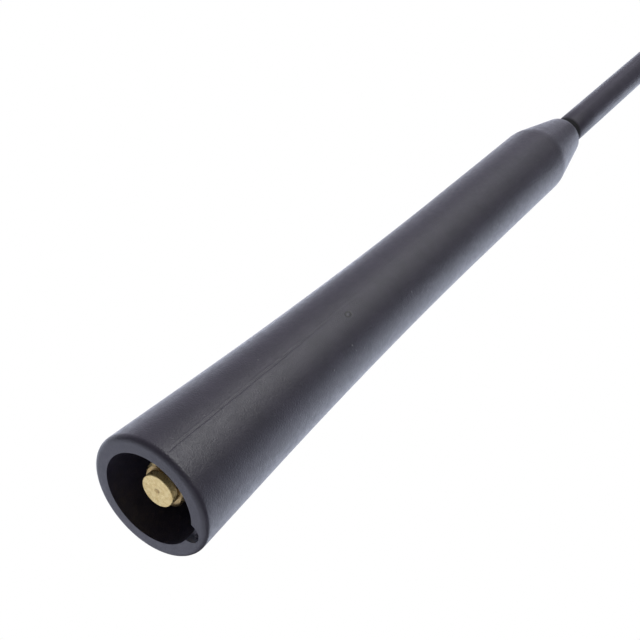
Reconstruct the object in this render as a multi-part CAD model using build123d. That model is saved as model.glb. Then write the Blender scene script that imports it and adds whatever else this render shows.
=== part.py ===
from build123d import *
import os
from math import cos, pi, radians, tan

# Car mast aerial: a flared moulded boot with a recessed brass stud at its foot, and a thin
# sleeved rod that leaves the boot at its top. Millimetres. The origin is the centre of the
# boot's rim plane, +Z runs up the mast, and the boot's mould parts in the XZ plane.

# Whole aerial
OVERALL_LENGTH = 400.0

# Boot, outside
RIM_DIAMETER = 14.0
RIM_EDGE_RADIUS = 0.65
FLARE_LENGTH = 37.5
WAIST_DIAMETER = 10.3
FLARE_BEND = 26.5
NECK_LENGTH = 51.3
SHOULDER_DIAMETER = 10.2
SHOULDER_BEND = 1.6
CONE_LENGTH = 10.8
MOUTH_WALL = 0.88
MOUTH_EDGE_RADIUS = 0.6

# Boot, cup at the foot
RIM_WALL = 1.75
CUP_DEPTH = 9.5
CUP_DRAFT_DEG = 1.0
CUP_FLOOR_CHAMFER = 0.4
GATE_POCKET_DIAMETER = 2.6
GATE_POCKET_WALL = 0.7
GATE_POCKET_DEPTH = 0.9

# Stud
THREAD_DIAMETER = 5.0
THREAD_CHAMFER = 0.2
STUD_RECESS = 1.3
DOG_POINT_STEP = 0.62
DOG_POINT_LENGTH = 0.85
DOG_POINT_CHAMFER = 0.07
COLLAR_STEP = 0.2
COLLAR_THICKNESS = 1.2
HEX_STEP = 0.3
HEX_LENGTH = 9.0
FERRULE_WALL = 1.05
FERRULE_LENGTH = 14.0
SOCKET_DEPTH = 16.0

# Mast
MAST_DIAMETER = 4.5
SLEEVE_WALL = 0.5
WIRE_DIAMETER = 0.25

# Tip cap
CAP_WALL = 0.6
CAP_END = 3.5
CAP_SOCKET_DEPTH = 6.5
CAP_FOOT_CHAMFER = 0.3

# The most of a wall or a run that a rounding or bevel takes
ROUNDING_SHARE = 0.9

# Worked out from the sizes above
SHOULDER_HEIGHT = FLARE_LENGTH + NECK_LENGTH
MOUTH_HEIGHT = SHOULDER_HEIGHT + CONE_LENGTH
MOUTH_RADIUS = MAST_DIAMETER / 2 + MOUTH_WALL
CUP_RADIUS = RIM_DIAMETER / 2 - RIM_WALL
GATE_POCKET_REACH = RIM_DIAMETER / 2 - GATE_POCKET_WALL
THREAD_START = STUD_RECESS + DOG_POINT_LENGTH
HEX_START = CUP_DEPTH + COLLAR_THICKNESS
FERRULE_START = HEX_START + HEX_LENGTH
FERRULE_END = FERRULE_START + FERRULE_LENGTH
SOCKET_FLOOR = FERRULE_END - SOCKET_DEPTH
WINDING_DIAMETER = MAST_DIAMETER - 2 * SLEEVE_WALL
CORE_DIAMETER = WINDING_DIAMETER - 2 * WIRE_DIAMETER
FERRULE_DIAMETER = WINDING_DIAMETER + 2 * FERRULE_WALL
HEX_ACROSS_FLATS = FERRULE_DIAMETER + 2 * HEX_STEP
HEX_ACROSS_CORNERS = HEX_ACROSS_FLATS / cos(pi / 6)
COLLAR_DIAMETER = HEX_ACROSS_CORNERS + 2 * COLLAR_STEP
CAP_RADIUS = MAST_DIAMETER / 2 + CAP_WALL
MAST_END = OVERALL_LENGTH - CAP_END
CAP_START = MAST_END - CAP_SOCKET_DEPTH


def turned(outline):
    """The solid that a closed outline (radius, height) sweeps round the mast's axis."""
    return revolve(Plane.XZ * outline, Axis.Z)


def rod(diameter, start, end):
    """A round bar on the mast's axis, from one height to another."""
    seat = (Align.CENTER, Align.CENTER, Align.MIN)
    return Pos(0, 0, start) * Cylinder(diameter / 2, end - start, align=seat)


def bend_radius(before, corner, after, span):
    """The radius of the arc that leaves a corner's two sides as far from it as span."""
    turn = (Vector(corner) - Vector(before)).get_angle(Vector(after) - Vector(corner))
    return span / tan(radians(turn) / 2)


def rounded(outline, corner, radius):
    """The outline with one of its corners rounded."""
    return fillet(outline.vertices().sort_by_distance(corner)[0], radius)


def bevelled(outline, corner, length):
    """The outline with one of its corners cut off."""
    return chamfer(outline.vertices().sort_by_distance(corner)[0], length)


def boot_blank():
    """The boot's outside as one solid: flare, neck, rounded shoulder, cone and mouth."""
    rim = (RIM_DIAMETER / 2, 0)
    waist = (WAIST_DIAMETER / 2, FLARE_LENGTH)
    shoulder = (SHOULDER_DIAMETER / 2, SHOULDER_HEIGHT)
    mouth = (MOUTH_RADIUS, MOUTH_HEIGHT)
    shoulder_span = min(SHOULDER_BEND, CONE_LENGTH / 2)
    neck_run = NECK_LENGTH - shoulder_span
    flare_span = min(FLARE_BEND, ROUNDING_SHARE * FLARE_LENGTH, ROUNDING_SHARE * neck_run)
    flare_radius = bend_radius(rim, waist, shoulder, flare_span)
    shoulder_radius = bend_radius(waist, shoulder, mouth, shoulder_span)
    axis_ends = [(0, MOUTH_HEIGHT), (0, 0)]
    outline = make_face(Polyline(rim, waist, shoulder, mouth, *axis_ends, close=True))
    outline = rounded(outline, waist, flare_radius)
    outline = rounded(outline, shoulder, shoulder_radius)
    outline = rounded(outline, rim, min(RIM_EDGE_RADIUS, RIM_WALL / 2))
    outline = rounded(outline, mouth, min(MOUTH_EDGE_RADIUS, ROUNDING_SHARE * MOUTH_WALL))
    return turned(outline)


def cup():
    """The space inside the boot's foot, drafted so that it leaves its mould."""
    floor_radius = CUP_RADIUS - CUP_DEPTH * tan(radians(CUP_DRAFT_DEG))
    floor_edge = (floor_radius, CUP_DEPTH)
    outline = make_face(Polyline((0, 0), (CUP_RADIUS, 0), floor_edge, (0, CUP_DEPTH), close=True))
    return turned(bevelled(outline, floor_edge, CUP_FLOOR_CHAMFER))


def gate_pocket():
    """The round pocket in the rim's inner edge, where the plastic entered the mould."""
    centre = GATE_POCKET_REACH - GATE_POCKET_DIAMETER / 2
    return Pos(0, centre, 0) * rod(GATE_POCKET_DIAMETER, 0, GATE_POCKET_DEPTH)


def stud_blank():
    """The brass stud before its socket is drilled: dog point, thread, collar, hexagon, ferrule."""
    thread_radius = THREAD_DIAMETER / 2
    tip_radius = thread_radius - DOG_POINT_STEP
    collar_radius = COLLAR_DIAMETER / 2
    profile = Polyline(
        (0, STUD_RECESS),
        (tip_radius - DOG_POINT_CHAMFER, STUD_RECESS),
        (tip_radius, STUD_RECESS + DOG_POINT_CHAMFER),
        (tip_radius, THREAD_START),
        (thread_radius - THREAD_CHAMFER, THREAD_START),
        (thread_radius, THREAD_START + THREAD_CHAMFER),
        (thread_radius, CUP_DEPTH),
        (collar_radius, CUP_DEPTH),
        (collar_radius, HEX_START),
        (0, HEX_START),
        close=True,
    )
    hexagon = RegularPolygon(HEX_ACROSS_FLATS / 2, 6, major_radius=False)
    grip = extrude(Plane.XY.offset(HEX_START) * hexagon, HEX_LENGTH)
    ferrule = rod(FERRULE_DIAMETER, FERRULE_START, FERRULE_END)
    return turned(make_face(profile)) + grip + ferrule


def threaded_stud():
    """The stud with the blind socket that takes the wound rod."""
    return stud_blank() - rod(WINDING_DIAMETER, SOCKET_FLOOR, FERRULE_END)


def base_boot():
    """The boot as it is moulded round the stud and the sleeved rod."""
    mast_bore = rod(MAST_DIAMETER, FERRULE_END, MOUTH_HEIGHT)
    return boot_blank() - cup() - gate_pocket() - stud_blank() - mast_bore


def mast_core():
    """The glass-fibre rod that stiffens the mast, from the stud's socket to the tip."""
    return rod(CORE_DIAMETER, SOCKET_FLOOR, MAST_END)


def radiator_winding():
    """The close-wound wire that receives, as one tube of its turns, held in the stud's socket."""
    return rod(WINDING_DIAMETER, SOCKET_FLOOR, MAST_END) - mast_core()


def mast_sleeve():
    """The black sleeve over the winding, from the ferrule's end to the tip."""
    return rod(MAST_DIAMETER, FERRULE_END, MAST_END) - rod(WINDING_DIAMETER, FERRULE_END, MAST_END)


def tip_cap():
    """The plain domed cap over the mast's end."""
    dome_edge = (CAP_RADIUS, OVERALL_LENGTH - CAP_RADIUS)
    foot_edge = (CAP_RADIUS, CAP_START)
    tip = (0, OVERALL_LENGTH)
    dome = RadiusArc(dome_edge, tip, -CAP_RADIUS)
    walls = Polyline(tip, (0, CAP_START), foot_edge, dome_edge)
    outline = make_face([dome, walls])
    outline = bevelled(outline, foot_edge, min(CAP_FOOT_CHAMFER, ROUNDING_SHARE * CAP_WALL))
    return turned(outline) - rod(MAST_DIAMETER, CAP_START, MAST_END)


PIECES = {
    "base_boot": base_boot,
    "threaded_stud": threaded_stud,
    "mast_core": mast_core,
    "radiator_winding": radiator_winding,
    "mast_sleeve": mast_sleeve,
    "tip_cap": tip_cap,
}

os.makedirs("parts", exist_ok=True)
for name, make in PIECES.items():
    export_step(make(), f"parts/{name}.step")
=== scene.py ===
"""The looks of a car mast aerial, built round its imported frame.

Metres in Blender, millimetres in the sizes below. The origin is the centre of the boot's rim
plane, +Z runs up the mast, and the boot's mould parts in the XZ plane.
"""
import math

import bpy
from mathutils import Matrix, Quaternion, Vector


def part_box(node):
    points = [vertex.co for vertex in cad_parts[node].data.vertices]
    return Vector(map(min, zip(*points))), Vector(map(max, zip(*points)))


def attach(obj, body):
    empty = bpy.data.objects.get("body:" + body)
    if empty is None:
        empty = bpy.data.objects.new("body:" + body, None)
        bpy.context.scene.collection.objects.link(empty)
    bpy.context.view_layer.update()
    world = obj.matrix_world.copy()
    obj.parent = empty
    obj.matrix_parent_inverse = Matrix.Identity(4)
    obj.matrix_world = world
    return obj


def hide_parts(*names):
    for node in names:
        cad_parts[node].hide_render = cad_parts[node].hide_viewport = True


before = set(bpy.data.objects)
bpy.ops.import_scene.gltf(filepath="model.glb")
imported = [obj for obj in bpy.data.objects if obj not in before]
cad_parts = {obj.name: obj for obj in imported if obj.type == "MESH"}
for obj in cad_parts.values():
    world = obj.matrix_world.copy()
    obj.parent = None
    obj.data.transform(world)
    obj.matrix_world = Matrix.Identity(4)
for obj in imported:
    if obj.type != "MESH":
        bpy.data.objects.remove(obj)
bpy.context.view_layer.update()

MM = 0.001


def box_mm(node):
    """A node's lowest and highest corners, in millimetres."""
    low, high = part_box(node)
    return low / MM, high / MM


# Sizes that the frame gives
stud_low, stud_high = box_mm("threaded_stud")
sleeve_high = box_mm("mast_sleeve")[1]
cap_low, cap_high = box_mm("tip_cap")
MOUTH_HEIGHT = box_mm("base_boot")[1].z
STUD_TIP = stud_low.z
FERRULE_END = stud_high.z
COLLAR_RADIUS = stud_high.x
SOCKET_FLOOR = box_mm("mast_core")[0].z
WINDING_RADIUS = box_mm("radiator_winding")[1].x
MAST_RADIUS = sleeve_high.x
MAST_END = sleeve_high.z
CAP_START = cap_low.z
CAP_TOP = cap_high.z
CAP_RADIUS = cap_high.x

# Boot, outside; its shoulder bends more tightly than the solid's
RIM_RADIUS = 7.0
RIM_EDGE_RADIUS = 0.65
WAIST_RADIUS = 5.15
WAIST_HEIGHT = 37.5
FLARE_BEND = 26.5
SHOULDER_RADIUS = 5.1
SHOULDER_HEIGHT = 88.8
SHOULDER_BEND = 0.8
MOUTH_RADIUS = 3.13
MOUTH_EDGE_RADIUS = 0.6

# Boot, inside
CUP_RADIUS = 5.25
CUP_DEPTH = 9.5
CUP_DRAFT_DEG = 1.0
CUP_FLOOR_CHAMFER = 0.4
GATE_POCKET_RADIUS = 1.3
GATE_POCKET_WALL = 0.7
GATE_POCKET_DEPTH = 0.9
GATE_CENTRE = RIM_RADIUS - GATE_POCKET_WALL - GATE_POCKET_RADIUS

# Stud
DOG_POINT_RADIUS = 1.88
DOG_POINT_CHAMFER = 0.07
THREAD_START = 2.15
THREAD_CHAMFER = 0.2
THREAD_RADIUS = 2.5
THREAD_ROOT_RADIUS = 2.02
THREAD_PITCH = 0.8
THREAD_PHASE_DEG = 20.0
HEX_START = 10.7
HEX_ACROSS_FLATS = 6.2
FERRULE_START = 19.7
FERRULE_RADIUS = 2.8

# Tip cap
CAP_FOOT_CHAMFER = 0.3

# Seam, blister and specks on the boot's skin. A wave pair gives two waves in radians a millimetre,
# and a speck its angle in degrees, its height and how pale it is.
SEAM_ANGLES = (0.0, 180.0)
SEAM_HALF_WIDTH = 0.16
SEAM_DEPTH = 0.04
SEAM_WANDER = 0.03
SEAM_UNEVENNESS = 0.2
UNEVEN_WAVES = (2.3, 5.1)
WANDER_WAVES = (1.7, 0.6)
SEAM_FADE_START = 20.0
SEAM_FADE_END = 44.0
FLASH_OFFSET = -0.24
FLASH_HALF_WIDTH = 0.15
FLASH_RISE = 0.018
FLASH_START = 1.2
BLISTER_ANGLE = 9.8
BLISTER_HEIGHT = 31.3
BLISTER_RADIUS = 0.3
BLISTER_WIDTH = 0.2
BLISTER_DEPTH = 0.03
BLISTER_STRETCH = 1.4
SPECK_RADIUS = 0.16
SPECK_RISE = 0.06
SPECKS = (
    (38.9, 28.75, 1.0),
    (47.0, 29.05, 0.4),
    (45.7, 24.4, 0.6),
    (-15.0, 17.3, 0.5),
    (52.0, 30.6, 0.3),
    (41.0, 42.5, 0.5),
)


def line_at(height, low, high):
    """The radius at a height on the straight run between two (radius, height) corners."""
    share = (height - low[1]) / (high[1] - low[1])
    return low[0] + share * (high[0] - low[0])


def bend_at(height, low, corner, high, span):
    """The radius at a height on the parabola that rounds a corner, span either side of it."""
    start = line_at(corner[1] - span, low, corner)
    end = line_at(corner[1] + span, corner, high)
    t = (height - corner[1] + span) / (2 * span)
    return (1 - t) ** 2 * start + 2 * t * (1 - t) * corner[0] + t ** 2 * end


RIM = (RIM_RADIUS, 0.0)
WAIST = (WAIST_RADIUS, WAIST_HEIGHT)
SHOULDER = (SHOULDER_RADIUS, SHOULDER_HEIGHT)
MOUTH = (MOUTH_RADIUS, MOUTH_HEIGHT)


def boot_radius(height):
    """The boot's outside radius at a height: flare, bend, neck, shoulder and cone."""
    if abs(height - WAIST_HEIGHT) < FLARE_BEND:
        return bend_at(height, RIM, WAIST, SHOULDER, FLARE_BEND)
    if abs(height - SHOULDER_HEIGHT) < SHOULDER_BEND:
        return bend_at(height, WAIST, SHOULDER, MOUTH, SHOULDER_BEND)
    if height < WAIST_HEIGHT:
        return line_at(height, RIM, WAIST)
    if height < SHOULDER_HEIGHT:
        return line_at(height, WAIST, SHOULDER)
    return line_at(height, SHOULDER, MOUTH)


def rounded_corner(before, corner, after, radius, steps):
    """Points (radius, height) along the arc that rounds a corner of an outline."""
    corner = Vector(corner)
    back = (Vector(before) - corner).normalized()
    ahead = (Vector(after) - corner).normalized()
    half = back.angle(ahead) / 2
    centre = corner + (back + ahead).normalized() * radius / math.sin(half)
    first = corner + back * radius / math.tan(half) - centre
    last = corner + ahead * radius / math.tan(half) - centre
    points = []
    for step in range(steps + 1):
        spoke = first.lerp(last, step / steps).normalized() * radius
        points.append(tuple(centre + spoke))
    return points


def evenly(start, end, step):
    """Values from start to end, both included, at most a step apart."""
    count = max(1, math.ceil(abs(end - start) / step))
    return [start + (end - start) * i / count for i in range(count + 1)]


def thinned(values, gap):
    """Sorted values with those left out that lie closer than the gap to the one before."""
    kept = []
    for value in sorted(values):
        if not kept or value - kept[-1] > gap:
            kept.append(value)
    return kept


def ease(share):
    """A smooth step from 0 to 1."""
    share = min(1.0, max(0.0, share))
    return share * share * (3 - 2 * share)


def turn_between(angle, other):
    """The angle from one to the other, in degrees, from -180 to 180."""
    return (angle - other + 180) % 360 - 180


# Meshes that are turned round the mast's axis

def circle(radius, height):
    """A round ring."""
    return lambda angle: (radius, height)


def hexagon(across_flats, height):
    """A six-sided ring with a corner on +X."""
    def point(angle):
        from_flat = (angle % 60) - 30
        return across_flats / 2 / math.cos(math.radians(from_flat)), height
    return point


def turned(name, rings, angles, loop=False):
    """A mesh through rings round the axis. A ring with no radius at an open end is a pole."""
    vertices = []
    rows = []
    for ring in rings:
        if ring(0.0)[0] == 0:
            rows.append([len(vertices)] * len(angles))
            vertices.append((0, 0, ring(0.0)[1] * MM))
            continue
        rows.append(list(range(len(vertices), len(vertices) + len(angles))))
        for angle in angles:
            radius, height = ring(angle)
            turn = math.radians(angle)
            vertices.append((radius * math.cos(turn) * MM, radius * math.sin(turn) * MM, height * MM))
    if loop:
        rows.append(rows[0])
    faces = []
    for low, high in zip(rows, rows[1:]):
        for i in range(len(angles)):
            j = (i + 1) % len(angles)
            corners = (low[i], low[j], high[j], high[i])
            faces.append(tuple(dict.fromkeys(corners)))
    mesh = bpy.data.meshes.new(name)
    mesh.from_pydata(vertices, [], faces)
    mesh.update()
    piece = bpy.data.objects.new(name, mesh)
    bpy.context.scene.collection.objects.link(piece)
    return piece


SMOOTH_ANGLE = math.radians(32)


def settle(piece, material, node):
    """Gives a finished mesh its shading and material, hangs it under the root body and hides the node
    it stands for.
    """
    piece.data.shade_smooth()
    piece.data.set_sharp_from_angle(angle=SMOOTH_ANGLE)
    piece.data.materials.append(material)
    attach(piece, "root")
    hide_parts(node)


# Boot

BOOT_SEGMENTS = 180
SKIN_STEP = 1.6
MARK_STEP = 0.045
SEAM_STEP = 0.35
SHOULDER_STEP = 0.1
SEAM_ANGLE_STEPS = 13
LEAST_TURN_DEG = 0.05
ARC_STEPS = 8
SKIN_REACH = 0.2
EDGE_SLACK = 0.01


def ripple(height, waves):
    """An uneven wave along the boot, between -1 and 1."""
    return math.sin(waves[0] * height) * math.sin(waves[1] * height + 1)


def skin_distance(angle, height, mark_angle, mark_height):
    """How far a point of the skin is from a mark, along the skin."""
    across = math.radians(turn_between(angle, mark_angle)) * boot_radius(mark_height)
    return math.hypot(across, height - mark_height)


def seam_drop(angle, height):
    """The uneven groove where the mould's halves met, with a fine flash on one side of it."""
    fade = 1 - ease((height - SEAM_FADE_START) / (SEAM_FADE_END - SEAM_FADE_START))
    uneven = fade * (1 - SEAM_UNEVENNESS + SEAM_UNEVENNESS * ripple(height, UNEVEN_WAVES))
    wander = SEAM_WANDER * ripple(height, WANDER_WAVES)
    drop = 0.0
    for seam in SEAM_ANGLES:
        across = math.radians(turn_between(angle, seam)) * boot_radius(height) - wander
        groove = 1 - ease(abs(across) / SEAM_HALF_WIDTH)
        flash = 1 - ease(abs(across - FLASH_OFFSET) / FLASH_HALF_WIDTH)
        flash *= ease((height - FLASH_START) / FLASH_START)
        drop += uneven * (SEAM_DEPTH * groove - FLASH_RISE * flash)
    return drop


def blister_share(angle, height):
    """1 in the ring-shaped dent of the burst blister, 0 outside it."""
    level = BLISTER_HEIGHT + (height - BLISTER_HEIGHT) / BLISTER_STRETCH
    distance = skin_distance(angle, level, BLISTER_ANGLE, BLISTER_HEIGHT)
    return 1 - ease(abs(distance - BLISTER_RADIUS) / BLISTER_WIDTH)


def speck_share(angle, height):
    """How pale the skin is with dust: most in the middle of a speck, 0 outside all of them."""
    shares = []
    for speck_angle, speck_height, paleness in SPECKS:
        distance = skin_distance(angle, height, speck_angle, speck_height)
        shares.append(paleness * (1 - ease(distance / SPECK_RADIUS)))
    return max(shares)


def skin(height):
    """A ring of the boot's outside, with its seams and marks."""
    def point(angle):
        radius = boot_radius(height) + SPECK_RISE * speck_share(angle, height)
        dent = BLISTER_DEPTH * blister_share(angle, height)
        return radius - seam_drop(angle, height) - dent, height
    return point


def marked_lines():
    """The angles and heights that the boot's skin needs for its seams and marks."""
    reach = (BLISTER_RADIUS + BLISTER_WIDTH) * BLISTER_STRETCH
    marks = [(BLISTER_ANGLE, BLISTER_HEIGHT, reach)]
    marks += [(angle, height, SPECK_RADIUS) for angle, height, paleness in SPECKS]
    angles = [360 * i / BOOT_SEGMENTS for i in range(BOOT_SEGMENTS)]
    heights = []
    for angle, height, reach in marks:
        turn = math.degrees(1 / boot_radius(height))
        angles += [angle % 360 + turn * s for s in evenly(-reach, reach, MARK_STEP)]
        heights += [height + s for s in evenly(-reach, reach, MARK_STEP)]
    for seam in SEAM_ANGLES:
        reach = math.degrees((FLASH_HALF_WIDTH - FLASH_OFFSET + SEAM_WANDER) / SHOULDER_RADIUS)
        angles += [(seam + turn) % 360 for turn in evenly(-reach, reach, reach / SEAM_ANGLE_STEPS)]
    heights += evenly(SEAM_STEP + RIM_EDGE_RADIUS, SEAM_FADE_END, SEAM_STEP)
    return thinned(angles, LEAST_TURN_DEG), heights


def gate_cutter():
    """The gate pocket's space, whose top dips where a nub of the broken gate stands."""
    rings = 20
    segments = 72
    nub_radius = 0.25
    nub_height = 0.3
    nub_place = Vector((-0.85, 0.72))
    below = -1.0
    vertices = [(0, 0)]
    for ring in range(1, rings + 1):
        for i in range(segments):
            turn = 2 * math.pi * i / segments
            radius = GATE_POCKET_RADIUS * ring / rings
            vertices.append((radius * math.cos(turn), radius * math.sin(turn)))
    tops = []
    for x, y in vertices:
        near = (Vector((x, y)) - nub_place).length / nub_radius
        tops.append((x, y, GATE_POCKET_DEPTH - nub_height * math.exp(-near ** 4)))
    faces = []
    for i in range(segments):
        j = (i + 1) % segments
        faces.append((0, 1 + i, 1 + j))
        for ring in range(rings - 1):
            inner = 1 + ring * segments
            outer = inner + segments
            faces.append((inner + i, outer + i, outer + j, inner + j))
    edge = 1 + (rings - 1) * segments
    base = len(tops)
    for x, y, height in tops[edge:]:
        tops.append((x, y, below))
    for i in range(segments):
        j = (i + 1) % segments
        faces.append((edge + i, base + i, base + j, edge + j))
    faces.append(tuple(range(base, base + segments))[::-1])
    mesh = bpy.data.meshes.new("gate_cutter")
    mesh.from_pydata([(x * MM, (y + GATE_CENTRE) * MM, z * MM) for x, y, z in tops], [], faces)
    cutter = bpy.data.objects.new("gate_cutter", mesh)
    bpy.context.scene.collection.objects.link(cutter)
    return cutter


def cut_away(piece, cutter):
    """Takes the cutter's space out of a piece and removes the cutter."""
    cut = piece.modifiers.new("cut", "BOOLEAN")
    cut.operation = "DIFFERENCE"
    cut.solver = "EXACT"
    cut.object = cutter
    graph = bpy.context.evaluated_depsgraph_get()
    mesh = bpy.data.meshes.new_from_object(piece.evaluated_get(graph))
    piece.modifiers.clear()
    piece.data = mesh
    bpy.data.objects.remove(cutter)


def mark_attributes(mesh):
    """Notes how dusty the boot's skin is, and where shade and light are painted on it."""
    dust = mesh.attributes.new("dust", "FLOAT", "POINT")
    painted_shade = mesh.attributes.new("painted_shade", "FLOAT", "POINT")
    for vertex, pale, dark in zip(mesh.vertices, dust.data, painted_shade.data):
        x, y, height = vertex.co / MM
        outside = math.hypot(x, y) > boot_radius(height) - SKIN_REACH
        if outside and RIM_EDGE_RADIUS < height < SHOULDER_HEIGHT:
            angle = math.degrees(math.atan2(y, x))
            pale.value = speck_share(angle, height)
            # Painted shade: the blister's ring-shaped dent is darkened in colour.
            dark.value = blister_share(angle, height)
    # Painted light: the gate pocket's walls, which lie in shade, are painted pale and bluish.
    painted_pocket_light = mesh.attributes.new("painted_pocket_light", "FLOAT", "FACE")
    for face, value in zip(mesh.polygons, painted_pocket_light.data):
        x, y, height = face.center / MM
        from_gate = math.hypot(x, y - GATE_CENTRE)
        in_pocket = from_gate < GATE_POCKET_RADIUS + EDGE_SLACK and math.hypot(x, y) > CUP_RADIUS
        in_depth = EDGE_SLACK < height < GATE_POCKET_DEPTH + EDGE_SLACK
        is_wall = abs(face.normal.z) < 0.5
        value.value = in_pocket and in_depth and is_wall


def boot(material):
    """The moulded boot, closed all round: outside, mouth, bore, stud's seat and cup."""
    angles, mark_heights = marked_lines()
    rim_arc = rounded_corner((0, 0), RIM, WAIST, RIM_EDGE_RADIUS, ARC_STEPS)
    mouth_arc = rounded_corner(SHOULDER, MOUTH, (0, MOUTH_HEIGHT), MOUTH_EDGE_RADIUS, ARC_STEPS)
    heights = evenly(rim_arc[-1][1], mouth_arc[0][1], SKIN_STEP) + mark_heights
    heights += evenly(SHOULDER_HEIGHT - SHOULDER_BEND, SHOULDER_HEIGHT + SHOULDER_BEND, SHOULDER_STEP)
    heights = thinned(heights, MARK_STEP / 3)
    slope = math.radians(CUP_DRAFT_DEG)
    floor_radius = CUP_RADIUS - CUP_DEPTH * math.tan(slope)
    wall_end = (floor_radius + CUP_FLOOR_CHAMFER * math.sin(slope),
                CUP_DEPTH - CUP_FLOOR_CHAMFER * math.cos(slope))
    rings = [circle(CUP_RADIUS, 0)]
    rings += [circle(*point) for point in rim_arc[:-1]]
    rings += [skin(height) for height in heights]
    rings += [circle(*point) for point in mouth_arc[1:]]
    rings += [
        circle(MAST_RADIUS, MOUTH_HEIGHT),
        circle(MAST_RADIUS, FERRULE_END),
        circle(FERRULE_RADIUS, FERRULE_END),
        circle(FERRULE_RADIUS, FERRULE_START),
        hexagon(HEX_ACROSS_FLATS, FERRULE_START),
        hexagon(HEX_ACROSS_FLATS, HEX_START),
        circle(COLLAR_RADIUS, HEX_START),
        circle(COLLAR_RADIUS, CUP_DEPTH),
        circle(floor_radius - CUP_FLOOR_CHAMFER, CUP_DEPTH),
        circle(*wall_end),
    ]
    piece = turned("boot", rings, angles, loop=True)
    cut_away(piece, gate_cutter())
    mark_attributes(piece.data)
    settle(piece, material, "base_boot")


# Stud

STUD_SEGMENTS = 120
THREAD_STEP = 0.04
PIP_RADIUS = 0.34
PIP_DEPTH = 0.13
LATHE_PITCH = 0.11
LATHE_DEPTH = 0.006
PIP_TARNISH = 0.6
PIP_TARNISH_START = 0.136
PIP_TARNISH_WIDTH = 0.306
CREST_BRIGHT_DEPTH = 0.1
ROOT_TARNISH = 0.8
FRONT_TARNISH = 0.6
SIDE_MARK_PITCH = 0.12
SIDE_MARK_DEPTH = 0.038
THREAD_CREST_SHARE = 1 / 8
THREAD_ROOT_SHARE = 1 / 4


def lathe_mark(radius):
    """How far the turning tool's marks sink the stud's end face, at a radius."""
    if radius < PIP_RADIUS:
        return PIP_DEPTH * (1 - ease(radius / PIP_RADIUS))
    return LATHE_DEPTH * (0.5 - 0.5 * math.cos(2 * math.pi * radius / LATHE_PITCH))


def turned_side(height):
    """The dog point's radius at a height, with the turning tool's marks."""
    turns = (height - STUD_TIP - DOG_POINT_CHAMFER) / SIDE_MARK_PITCH
    return DOG_POINT_RADIUS - SIDE_MARK_DEPTH * (0.5 - 0.5 * math.cos(2 * math.pi * turns))


def thread_radius(angle, height):
    """The right-hand thread's radius: flat crests and roots joined by straight flanks."""
    turns = (height - THREAD_START) / THREAD_PITCH - (angle - THREAD_PHASE_DEG) / 360
    from_crest = abs((turns + 0.5) % 1 - 0.5)
    flank = 0.5 - THREAD_CREST_SHARE / 2 - THREAD_ROOT_SHARE / 2
    depth = min(1.0, max(0.0, (from_crest - THREAD_CREST_SHARE / 2) / flank))
    radius = THREAD_RADIUS - depth * (THREAD_RADIUS - THREAD_ROOT_RADIUS)
    chamfer = THREAD_RADIUS - THREAD_CHAMFER + height - THREAD_START
    return min(radius, chamfer)


def threaded(height):
    """A ring of the thread."""
    return lambda angle: (thread_radius(angle, height), height)


def tarnish_at(radius, height):
    """How tarnished the stud is: in its pip, on its thread's front and in its thread's roots."""
    face_edge = DOG_POINT_RADIUS - DOG_POINT_CHAMFER
    if height < STUD_TIP + PIP_DEPTH + EDGE_SLACK and radius < face_edge:
        return PIP_TARNISH * (1 - ease((radius - PIP_TARNISH_START) / PIP_TARNISH_WIDTH))
    if height < THREAD_START - EDGE_SLACK:
        return 0.0
    if height < THREAD_START + THREAD_CHAMFER:
        return FRONT_TARNISH
    below_crest = THREAD_RADIUS - CREST_BRIGHT_DEPTH - radius
    return ROOT_TARNISH * ease(below_crest / (THREAD_RADIUS - THREAD_ROOT_RADIUS))


def tarnish_attribute(mesh):
    """Notes how tarnished the stud is at each vertex."""
    tarnish = mesh.attributes.new("tarnish", "FLOAT", "POINT")
    for vertex, value in zip(mesh.vertices, tarnish.data):
        x, y, height = vertex.co / MM
        value.value = tarnish_at(math.hypot(x, y), height)


def stud(material):
    """The brass stud: turned end, dog point, thread, collar, hexagon and ferrule with its socket."""
    face_edge = DOG_POINT_RADIUS - DOG_POINT_CHAMFER
    rings = [circle(0, STUD_TIP + PIP_DEPTH)]
    for radius in evenly(0, face_edge, LATHE_PITCH / 4)[1:]:
        rings.append(circle(radius, STUD_TIP + lathe_mark(radius)))
    for height in evenly(STUD_TIP + DOG_POINT_CHAMFER, THREAD_START, SIDE_MARK_PITCH / 8):
        rings.append(circle(turned_side(height), height))
    rings += [threaded(height) for height in evenly(THREAD_START, CUP_DEPTH, THREAD_STEP)]
    rings += [
        circle(COLLAR_RADIUS, CUP_DEPTH),
        circle(COLLAR_RADIUS, HEX_START),
        hexagon(HEX_ACROSS_FLATS, HEX_START),
        hexagon(HEX_ACROSS_FLATS, FERRULE_START),
        circle(FERRULE_RADIUS, FERRULE_START),
        circle(FERRULE_RADIUS, FERRULE_END),
        circle(WINDING_RADIUS, FERRULE_END),
        circle(WINDING_RADIUS, SOCKET_FLOOR),
        circle(0, SOCKET_FLOOR),
    ]
    angles = [360 * i / STUD_SEGMENTS for i in range(STUD_SEGMENTS)]
    piece = turned("stud", rings, angles)
    tarnish_attribute(piece.data)
    settle(piece, material, "threaded_stud")


# Mast and tip

MAST_SEGMENTS = 96
MAST_STEP = 6.0
DOME_STEPS = 24
GROOVE_TOP = 102.2
GROOVE_FADE = 0.5
GROOVE_DEPTH = 0.15


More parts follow.
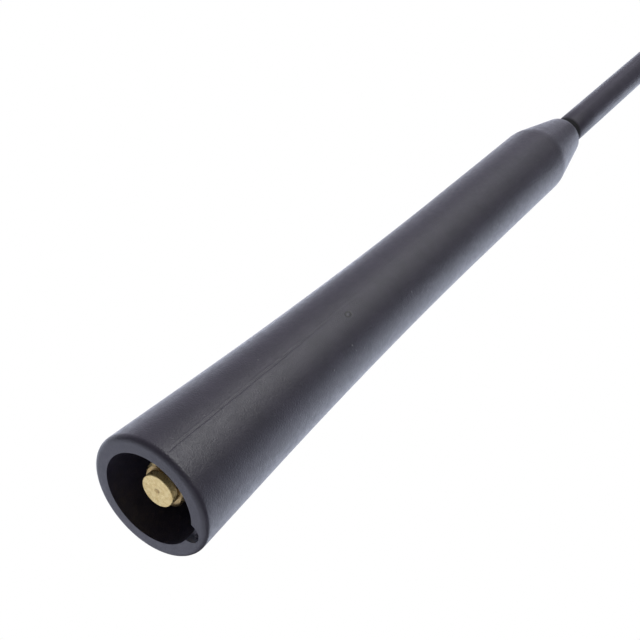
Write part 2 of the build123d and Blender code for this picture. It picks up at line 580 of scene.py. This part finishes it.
def sleeve(material):
    """The mast's sleeve, a long tube with a shallow groove where it leaves the boot, darkened there
    with painted shade.
    """
    groove_foot = MOUTH_HEIGHT - GROOVE_FADE
    outside = evenly(FERRULE_END, groove_foot - GROOVE_FADE, MAST_STEP)
    rings = [circle(MAST_RADIUS, height) for height in outside]
    rings.append(circle(MAST_RADIUS - GROOVE_DEPTH, groove_foot))
    rings.append(circle(MAST_RADIUS - GROOVE_DEPTH, GROOVE_TOP))
    for height in evenly(GROOVE_TOP + GROOVE_FADE, MAST_END, MAST_STEP):
        rings.append(circle(MAST_RADIUS, height))
    inside = evenly(MAST_END, FERRULE_END, MAST_STEP)
    rings += [circle(WINDING_RADIUS, height) for height in inside]
    angles = [360 * i / MAST_SEGMENTS for i in range(MAST_SEGMENTS)]
    piece = turned("sleeve", rings, angles, loop=True)
    # Painted shade: the groove and the stretch inside the boot's mouth are marked to be darkened in
    # colour.
    painted_shade = piece.data.attributes.new("painted_shade", "FLOAT", "POINT")
    for vertex, dark in zip(piece.data.vertices, painted_shade.data):
        height = vertex.co.z / MM
        dark.value = groove_foot - EDGE_SLACK < height < GROOVE_TOP + EDGE_SLACK
    settle(piece, material, "mast_sleeve")


def cap(material):
    """The domed cap over the mast's end."""
    dome_centre = CAP_TOP - CAP_RADIUS
    rings = [circle(0, CAP_TOP)]
    for step in range(1, DOME_STEPS + 1):
        turn = math.pi / 2 * step / DOME_STEPS
        rings.append(circle(CAP_RADIUS * math.sin(turn), dome_centre + CAP_RADIUS * math.cos(turn)))
    rings += [
        circle(CAP_RADIUS, CAP_START + CAP_FOOT_CHAMFER),
        circle(CAP_RADIUS - CAP_FOOT_CHAMFER, CAP_START),
        circle(MAST_RADIUS, CAP_START),
        circle(MAST_RADIUS, MAST_END),
        circle(0, MAST_END),
    ]
    angles = [360 * i / MAST_SEGMENTS for i in range(MAST_SEGMENTS)]
    piece = turned("cap", rings, angles)
    settle(piece, material, "tip_cap")


# Materials

class Shader:
    """A material with a Principled shader and a short way to add nodes to it."""

    def __init__(self, name):
        self.material = bpy.data.materials.new(name)
        self.material.use_nodes = True
        self.tree = self.material.node_tree
        self.principled = self.tree.nodes["Principled BSDF"]
        self.place = self.add("ShaderNodeVectorMath", operation="SCALE")
        self.place.inputs["Scale"].default_value = 1 / MM
        source = self.add("ShaderNodeTexCoord")
        self.link(source.outputs["Object"], self.place.inputs[0])

    def add(self, kind, **settings):
        node = self.tree.nodes.new(kind)
        for name, value in settings.items():
            setattr(node, name, value)
        return node

    def link(self, output, socket):
        self.tree.links.new(output, socket)

    def stretched(self, scale):
        """The place in millimetres, scaled by axis."""
        node = self.add("ShaderNodeVectorMath", operation="MULTIPLY")
        node.inputs[1].default_value = scale
        self.link(self.place.outputs[0], node.inputs[0])
        return node.outputs[0]

    def noise(self, scale, detail=3.0, place=None):
        """Noise with about this many features to the millimetre."""
        node = self.add("ShaderNodeTexNoise")
        node.inputs["Scale"].default_value = scale
        node.inputs["Detail"].default_value = detail
        self.link(place or self.place.outputs[0], node.inputs["Vector"])
        return node.outputs["Fac"]

    def ramp(self, value, low, high, start=0.35, end=0.65):
        """A colour between two, by a value."""
        node = self.add("ShaderNodeValToRGB")
        node.color_ramp.elements[0].position = start
        node.color_ramp.elements[1].position = end
        node.color_ramp.elements[0].color = (*low, 1)
        node.color_ramp.elements[1].color = (*high, 1)
        self.link(value, node.inputs[0])
        return node.outputs["Color"]

    def between(self, value, low, high, start=0.35, end=0.65):
        """A number between two, by a value."""
        node = self.add("ShaderNodeMapRange")
        node.inputs["From Min"].default_value = start
        node.inputs["From Max"].default_value = end
        node.inputs["To Min"].default_value = low
        node.inputs["To Max"].default_value = high
        self.link(value, node.inputs["Value"])
        return node.outputs["Result"]

    def mixed(self, share, first, second):
        """A colour output mixed into a plain colour, by a value."""
        node = self.add("ShaderNodeMix", data_type="RGBA")
        self.link(share, node.inputs["Factor"])
        self.link(first, node.inputs[6])
        node.inputs[7].default_value = (*second, 1)
        return node.outputs[2]

    def shifted(self, share, first, second):
        """A number output mixed into a plain number, by a value."""
        node = self.add("ShaderNodeMix", data_type="FLOAT")
        self.link(share, node.inputs["Factor"])
        self.link(first, node.inputs[2])
        node.inputs[3].default_value = second
        return node.outputs[0]

    def bump(self, height, depth, below=None):
        """A bump this deep in millimetres, on top of another one."""
        node = self.add("ShaderNodeBump")
        node.inputs["Distance"].default_value = depth * MM
        self.link(height, node.inputs["Height"])
        if below:
            self.link(below, node.inputs["Normal"])
        return node.outputs["Normal"]

    def finish(self, colour, roughness, normal):
        self.link(colour, self.principled.inputs["Base Color"])
        self.link(roughness, self.principled.inputs["Roughness"])
        self.link(normal, self.principled.inputs["Normal"])
        return self.material


PLASTIC_DARK = (0.0275, 0.024, 0.037)
PLASTIC_PALE = (0.035, 0.030, 0.046)
DUST_COLOUR = (0.18, 0.18, 0.18)
# Painted shade, in the blister's dent on the boot and in the sleeve's groove at the boot's mouth.
PAINTED_SHADE_COLOUR = (0.004, 0.004, 0.005)
PAINTED_SHADE_ROUGHNESS = 0.85
# Painted light on the gate pocket's walls.
PAINTED_POCKET_LIGHT_COLOUR = (0.14, 0.145, 0.19)
PLASTIC_SPECULAR = 0.57
SLEEVE_SPECULAR = 0.36


def moulded_plastic(name, marked=False):
    """Satin black moulding with a fine spark-eroded grain and faint flow marks."""
    shader = Shader(name)
    shader.principled.inputs["Specular IOR Level"].default_value = PLASTIC_SPECULAR
    colour = shader.ramp(shader.noise(scale=0.4), PLASTIC_DARK, PLASTIC_PALE)
    if marked:
        dust = shader.add("ShaderNodeAttribute", attribute_name="dust")
        colour = shader.mixed(dust.outputs["Fac"], colour, DUST_COLOUR)
        # Painted shade in the blister's dent.
        painted_shade = shader.add("ShaderNodeAttribute", attribute_name="painted_shade")
        colour = shader.mixed(painted_shade.outputs["Fac"], colour, PAINTED_SHADE_COLOUR)
        # Painted light on the gate pocket's walls.
        painted_pocket_light = shader.add("ShaderNodeAttribute", attribute_name="painted_pocket_light")
        colour = shader.mixed(painted_pocket_light.outputs["Fac"], colour, PAINTED_POCKET_LIGHT_COLOUR)
    roughness = shader.between(shader.noise(scale=1.5), low=0.4, high=0.47)
    flow = shader.bump(shader.noise(scale=0.25, detail=1.0), depth=0.01)
    mottle = shader.bump(shader.noise(scale=6.0), depth=0.042, below=flow)
    grain = shader.bump(shader.noise(scale=7.0), depth=0.0012, below=mottle)
    return shader.finish(colour, roughness, grain)


def extruded_plastic(name):
    """Satin black sleeve with fine lines along its length, dull in its groove and darkened there with
    painted shade.
    """
    shader = Shader(name)
    shader.principled.inputs["Specular IOR Level"].default_value = SLEEVE_SPECULAR
    colour = shader.ramp(shader.noise(scale=0.5), PLASTIC_DARK, PLASTIC_PALE)
    # Painted shade in the groove by the boot's mouth, where the sleeve is also rougher.
    painted_shade = shader.add("ShaderNodeAttribute", attribute_name="painted_shade")
    colour = shader.mixed(painted_shade.outputs["Fac"], colour, PAINTED_SHADE_COLOUR)
    lines = shader.noise(scale=6.0, detail=2.0, place=shader.stretched((1, 1, 0.04)))
    drawn_roughness = shader.between(lines, low=0.4, high=0.5)
    roughness = shader.shifted(painted_shade.outputs["Fac"], drawn_roughness, PAINTED_SHADE_ROUGHNESS)
    drawn = shader.bump(lines, depth=0.0015)
    grain = shader.bump(shader.noise(scale=6.0), depth=0.002, below=drawn)
    return shader.finish(colour, roughness, grain)


BRASS_PALE = (0.67, 0.53, 0.262)
BRASS_DARK = (0.53, 0.39, 0.166)
BRASS_TARNISH = (0.27, 0.17, 0.075)


def turned_brass(name):
    """Bright turned brass, a little stained, with the tool's marks round it."""
    shader = Shader(name)
    shader.principled.inputs["Metallic"].default_value = 1.0
    stains = shader.noise(scale=2.2, detail=5.0)
    colour = shader.ramp(stains, BRASS_DARK, BRASS_PALE, start=0.3, end=0.6)
    tarnish = shader.add("ShaderNodeAttribute", attribute_name="tarnish")
    colour = shader.mixed(tarnish.outputs["Fac"], colour, BRASS_TARNISH)
    roughness = shader.between(shader.noise(scale=3.0), low=0.26, high=0.42)
    rings = shader.noise(scale=5.0, detail=2.0, place=shader.stretched((0.3, 0.3, 4)))
    marks = shader.bump(rings, depth=0.003)
    return shader.finish(colour, roughness, marks)


FIBRE_PALE = (0.8, 0.76, 0.62)
FIBRE_DARK = (0.66, 0.6, 0.44)


def glass_fibre(name):
    """Pultruded rod: pale resin with fibres along its length."""
    shader = Shader(name)
    fibres = shader.noise(scale=9.0, place=shader.stretched((1, 1, 0.02)))
    colour = shader.ramp(fibres, FIBRE_DARK, FIBRE_PALE)
    roughness = shader.between(fibres, low=0.25, high=0.4)
    return shader.finish(colour, roughness, shader.bump(fibres, depth=0.01))


COPPER_PALE = (0.78, 0.42, 0.24)
COPPER_DARK = (0.5, 0.22, 0.1)
WIRE_PITCH = 0.25
WAVE_LENGTHS_PER_UNIT = 10 / math.pi


def wound_copper(name):
    """Close turns of enamelled wire."""
    shader = Shader(name)
    shader.principled.inputs["Metallic"].default_value = 1.0
    turns = shader.add("ShaderNodeTexWave", wave_type="BANDS", bands_direction="Z")
    turns.inputs["Scale"].default_value = 1 / (WIRE_PITCH * WAVE_LENGTHS_PER_UNIT)
    shader.link(shader.place.outputs[0], turns.inputs["Vector"])
    # Painted shade: the copper is darker in the hollows between the turns.
    colour = shader.ramp(turns.outputs["Fac"], COPPER_DARK, COPPER_PALE, start=0.0, end=0.6)
    roughness = shader.between(shader.noise(scale=2.0), low=0.22, high=0.34)
    return shader.finish(colour, roughness, shader.bump(turns.outputs["Fac"], depth=WIRE_PITCH / 2))


def dress_node(node, material):
    """Gives a node of the frame that stays as it is its material."""
    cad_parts[node].material_slots[0].material = material


# Stage

FLOOR_DROP = 75.0
FLOOR_AZIMUTH = 172.5
FLOOR_DISTANCE = 0.205
FLOOR_COLOUR = (0.84, 0.84, 0.84)
FLOOR_ROUGHNESS = 0.9
FLOOR_SPECULAR = 0.1
FLOOR_FADE_START = 0.19
FLOOR_FADE_END = 0.265
FILL_STRENGTH = 0.11


def direction(azimuth_deg, elevation_deg):
    """A unit vector, by azimuth from +X and elevation."""
    azimuth = math.radians(azimuth_deg)
    elevation = math.radians(elevation_deg)
    level = math.cos(elevation)
    return Vector((level * math.cos(azimuth), level * math.sin(azimuth), math.sin(elevation)))


def floor():
    """A pale round floor under and behind the object, which fades out at its edge."""
    segments = 96
    turns = [2 * math.pi * i / segments for i in range(segments)]
    rim = [(FLOOR_FADE_END * math.cos(t), FLOOR_FADE_END * math.sin(t), 0) for t in turns]
    mesh = bpy.data.meshes.new("floor")
    mesh.from_pydata(rim, [], [tuple(range(segments))])
    piece = bpy.data.objects.new("floor", mesh)
    piece.location = direction(FLOOR_AZIMUTH, 0) * FLOOR_DISTANCE - Vector((0, 0, FLOOR_DROP * MM))
    bpy.context.scene.collection.objects.link(piece)
    material = bpy.data.materials.new("floor_paper")
    material.use_nodes = True
    nodes = material.node_tree.nodes
    links = material.node_tree.links
    paper = nodes["Principled BSDF"]
    paper.inputs["Base Color"].default_value = (*FLOOR_COLOUR, 1)
    paper.inputs["Roughness"].default_value = FLOOR_ROUGHNESS
    paper.inputs["Specular IOR Level"].default_value = FLOOR_SPECULAR
    place = nodes.new("ShaderNodeTexCoord")
    reach = nodes.new("ShaderNodeVectorMath")
    reach.operation = "LENGTH"
    fade = nodes.new("ShaderNodeMapRange")
    fade.interpolation_type = "SMOOTHSTEP"
    fade.inputs["From Min"].default_value = FLOOR_FADE_START
    fade.inputs["From Max"].default_value = FLOOR_FADE_END
    clear = nodes.new("ShaderNodeBsdfTransparent")
    mix = nodes.new("ShaderNodeMixShader")
    links.new(place.outputs["Object"], reach.inputs[0])
    links.new(reach.outputs["Value"], fade.inputs["Value"])
    links.new(fade.outputs["Result"], mix.inputs[0])
    links.new(paper.outputs[0], mix.inputs[1])
    links.new(clear.outputs[0], mix.inputs[2])
    links.new(mix.outputs[0], nodes["Material Output"].inputs["Surface"])
    mesh.materials.append(material)


def background():
    """A white world to look at, which lights the shade only gently."""
    world = bpy.data.worlds.new("studio")
    bpy.context.scene.world = world
    world.use_nodes = True
    nodes = world.node_tree.nodes
    links = world.node_tree.links
    fill = nodes["Background"]
    fill.inputs["Color"].default_value = (1, 1, 1, 1)
    fill.inputs["Strength"].default_value = FILL_STRENGTH
    white = nodes.new("ShaderNodeBackground")
    white.inputs["Color"].default_value = (1, 1, 1, 1)
    white.inputs["Strength"].default_value = 1.0
    path = nodes.new("ShaderNodeLightPath")
    mix = nodes.new("ShaderNodeMixShader")
    links.new(path.outputs["Is Camera Ray"], mix.inputs[0])
    links.new(fill.outputs[0], mix.inputs[1])
    links.new(white.outputs[0], mix.inputs[2])
    links.new(mix.outputs[0], nodes["World Output"].inputs["Surface"])


LIGHT_TARGET = Vector((0, 0, 45 * MM))
LIGHT_DISTANCE = 0.6


def softbox(name, azimuth, elevation, width, height, roll_deg, radiance, colour):
    """A soft lamp that faces the boot, turned about the way it faces, by the brightness of its face."""
    lamp = bpy.data.lights.new(name, "AREA")
    lamp.shape = "RECTANGLE"
    lamp.size = width
    lamp.size_y = height
    lamp.energy = 4 * width * height * radiance
    lamp.color = colour
    away = direction(azimuth, elevation)
    piece = bpy.data.objects.new(name, lamp)
    piece.location = LIGHT_TARGET + away * LIGHT_DISTANCE
    piece.rotation_mode = "QUATERNION"
    roll = Quaternion((0, 0, 1), math.radians(roll_deg))
    piece.rotation_quaternion = away.to_track_quat("Z", "Y") @ roll
    piece.visible_camera = False
    bpy.context.scene.collection.objects.link(piece)


FRONT_WHITE = (0.97, 0.98, 1.0)
SIDE_WHITE = (0.78, 0.84, 1.0)
LEFT_WHITE = (0.85, 0.83, 1.0)


def lights():
    """A soft lamp in front, large ones at the sides and behind, and a weak one above."""
    softbox("lamp_front", azimuth=1.7, elevation=25.8, width=0.53, height=0.25,
            roll_deg=-15, radiance=4.8, colour=FRONT_WHITE)
    softbox("lamp_right", azimuth=156.7, elevation=55.8, width=1.18, height=0.67,
            roll_deg=19.5, radiance=1.8, colour=SIDE_WHITE)
    softbox("lamp_left", azimuth=-87, elevation=36.5, width=0.8, height=1.27,
            roll_deg=-31.7, radiance=0.485, colour=LEFT_WHITE)
    softbox("lamp_low", azimuth=-140, elevation=15.5, width=0.59, height=0.8,
            roll_deg=3, radiance=1.38, colour=SIDE_WHITE)
    softbox("lamp_top", azimuth=17.5, elevation=82, width=0.5, height=0.5,
            roll_deg=0, radiance=0.15, colour=SIDE_WHITE)


CAMERA_DISTANCE = 105.5
CAMERA_AZIMUTH = 17.5
CAMERA_ELEVATION = -31.076
CAMERA_AIM = (0.746, -2.365, 32.776)
CAMERA_ROLL_DEG = 49.811
CAMERA_LENS = 60.692
CAMERA_SENSOR = 36.0
CAMERA_CLIP_START = 0.005


def camera():
    """The view from below the rim, along the boot."""
    lens = bpy.data.cameras.new("camera")
    lens.sensor_width = CAMERA_SENSOR
    lens.lens = CAMERA_LENS
    lens.clip_start = CAMERA_CLIP_START
    piece = bpy.data.objects.new("camera", lens)
    place = direction(CAMERA_AZIMUTH, CAMERA_ELEVATION) * CAMERA_DISTANCE * MM
    ahead = (Vector(CAMERA_AIM) * MM - place).normalized()
    level = ahead.cross(Vector((0, 0, 1))).normalized()
    roll = Matrix.Rotation(math.radians(CAMERA_ROLL_DEG), 3, -ahead)
    right = roll @ level
    up = roll @ level.cross(ahead)
    turn = Matrix((right, up, -ahead)).transposed().to_4x4()
    piece.matrix_world = Matrix.Translation(place) @ turn
    bpy.context.scene.collection.objects.link(piece)
    bpy.context.scene.camera = piece


boot(moulded_plastic("boot_plastic", marked=True))
stud(turned_brass("stud_brass"))
sleeve(extruded_plastic("sleeve_plastic"))
cap(moulded_plastic("cap_plastic"))
dress_node("mast_core", glass_fibre("core_glass_fibre"))
dress_node("radiator_winding", wound_copper("winding_copper"))
floor()
background()
lights()
camera()
bpy.context.scene.view_settings.view_transform = "Standard"
